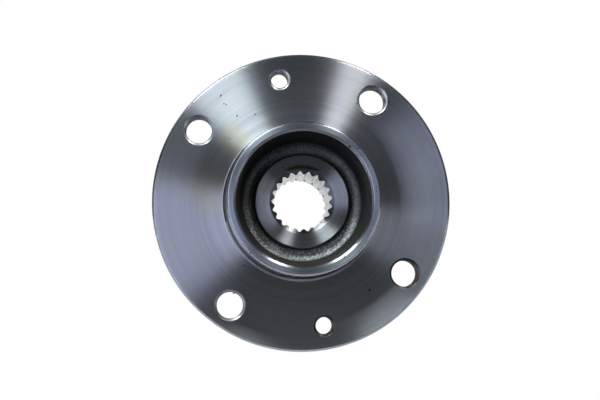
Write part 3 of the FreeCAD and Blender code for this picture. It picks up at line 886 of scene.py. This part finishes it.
# The world behind everything.
def whiteSurround():
    world = bpy.data.worlds.new("studio")
    world.use_nodes = True
    bpy.context.scene.world = world
    tree = world.node_tree
    direction = add(tree, "ShaderNodeTexCoord").outputs["Generated"]
    parts = add(tree, "ShaderNodeSeparateXYZ", {0: direction}).outputs
    overhead = add(tree, "ShaderNodeVectorMath", {0: direction, 1: surround["ceilingSide"]},
                   operation="DOT_PRODUCT").outputs["Value"]
    ceiling = spread(tree, overhead, surround["ceilingFrom"], surround["ceilingTo"], 0.0,
                     surround["ceiling"])
    dim = maths(tree, "ADD", spread(tree, parts[2], surround["lowFrom"], surround["highFrom"],
                                    surround["low"], surround["high"]), ceiling)
    rays = add(tree, "ShaderNodeLightPath").outputs
    bent = maths(tree, "ADD", rays["Is Glossy Ray"], rays["Is Transmission Ray"])
    behind = maths(tree, "MULTIPLY", bent,
                   spread(tree, parts[1], surround["behindFrom"], surround["behindTo"]))
    shown = maths(tree, "MAXIMUM", rays["Is Camera Ray"], behind)
    connect(tree, tree.nodes["Background"], Strength=maths(tree, "MAXIMUM", shown, dim),
            Color=blend(tree, shown, surround["light"], surround["shown"]))


# The floor turns white in front of the part and far from it, and keeps the part's shadow between.
floorLook = {"colour": (0.9, 0.9, 0.9, 1), "roughness": 0.8, "size": 4, "middle": (0, 3.955, -0.12),
             "white": (1, 1, 1, 1), "farFrom": 0.25, "farTo": 0.5, "frontFrom": -0.045, "frontTo": 0.02}


# The pale floor under the part.
def paleFloor():
    mesh = bmesh.new()
    bmesh.ops.create_grid(mesh, x_segments=1, y_segments=1, size=floorLook["size"])
    bmesh.ops.translate(mesh, verts=mesh.verts, vec=floorLook["middle"])
    floor = placed("floor", mesh)
    made, tree, shader = newMaterial("paleFloor")
    connect(tree, shader, Base_Color=floorLook["colour"], Roughness=floorLook["roughness"])
    spot = onPiece(tree)
    away = add(tree, "ShaderNodeVectorMath", {0: spot}, operation="LENGTH").outputs["Value"]
    rays = add(tree, "ShaderNodeLightPath").outputs
    seen = maths(tree, "ADD", maths(tree, "ADD", rays["Is Camera Ray"], rays["Is Glossy Ray"]),
                 rays["Is Transmission Ray"], clamp=True)
    white = add(tree, "ShaderNodeEmission", {"Color": floorLook["white"], "Strength": 1.0}).outputs[0]
    depth = add(tree, "ShaderNodeSeparateXYZ", {0: spot}).outputs[1]
    front = spread(tree, depth, floorLook["frontFrom"], floorLook["frontTo"], 1.0, 0.0)
    fade = maths(tree, "MAXIMUM", spread(tree, away, floorLook["farFrom"], floorLook["farTo"]), front)
    mixed = add(tree, "ShaderNodeMixShader", {0: maths(tree, "MULTIPLY", seen, fade),
                                              1: shader.outputs[0], 2: white})
    tree.links.new(mixed.outputs[0], tree.nodes["Material Output"].inputs["Surface"])
    floor.data.materials.append(made)


# Where the photograph was taken from: place in metres, and the gaze's turn and rise in radians.
viewpoint = {"place": (-0.02739, -0.48976, -0.04162), "yaw": 0.05435, "pitch": 0.08599,
             "lens": 74.14, "sensor": 36, "nearest": 0.01}


# The camera at the photograph's viewpoint.
def photoCamera():
    camera = bpy.data.objects.new("camera", bpy.data.cameras.new("camera"))
    bpy.context.scene.collection.objects.link(camera)
    camera.data.lens = viewpoint["lens"]
    camera.data.sensor_width = viewpoint["sensor"]
    camera.data.clip_start = viewpoint["nearest"]
    camera.location = viewpoint["place"]
    yaw = viewpoint["yaw"]
    pitch = viewpoint["pitch"]
    gaze = Vector((math.sin(yaw) * math.cos(pitch), math.cos(yaw) * math.cos(pitch), math.sin(pitch)))
    camera.rotation_euler = gaze.to_track_quat("-Z", "Y").to_euler()
    return camera


for name, facts in lamps.items():
    softbox(name, facts)
whiteSurround()
paleFloor()
bpy.context.scene.camera = photoCamera()
bpy.context.scene.view_settings.view_transform = "Standard"
print("stage: studio set")
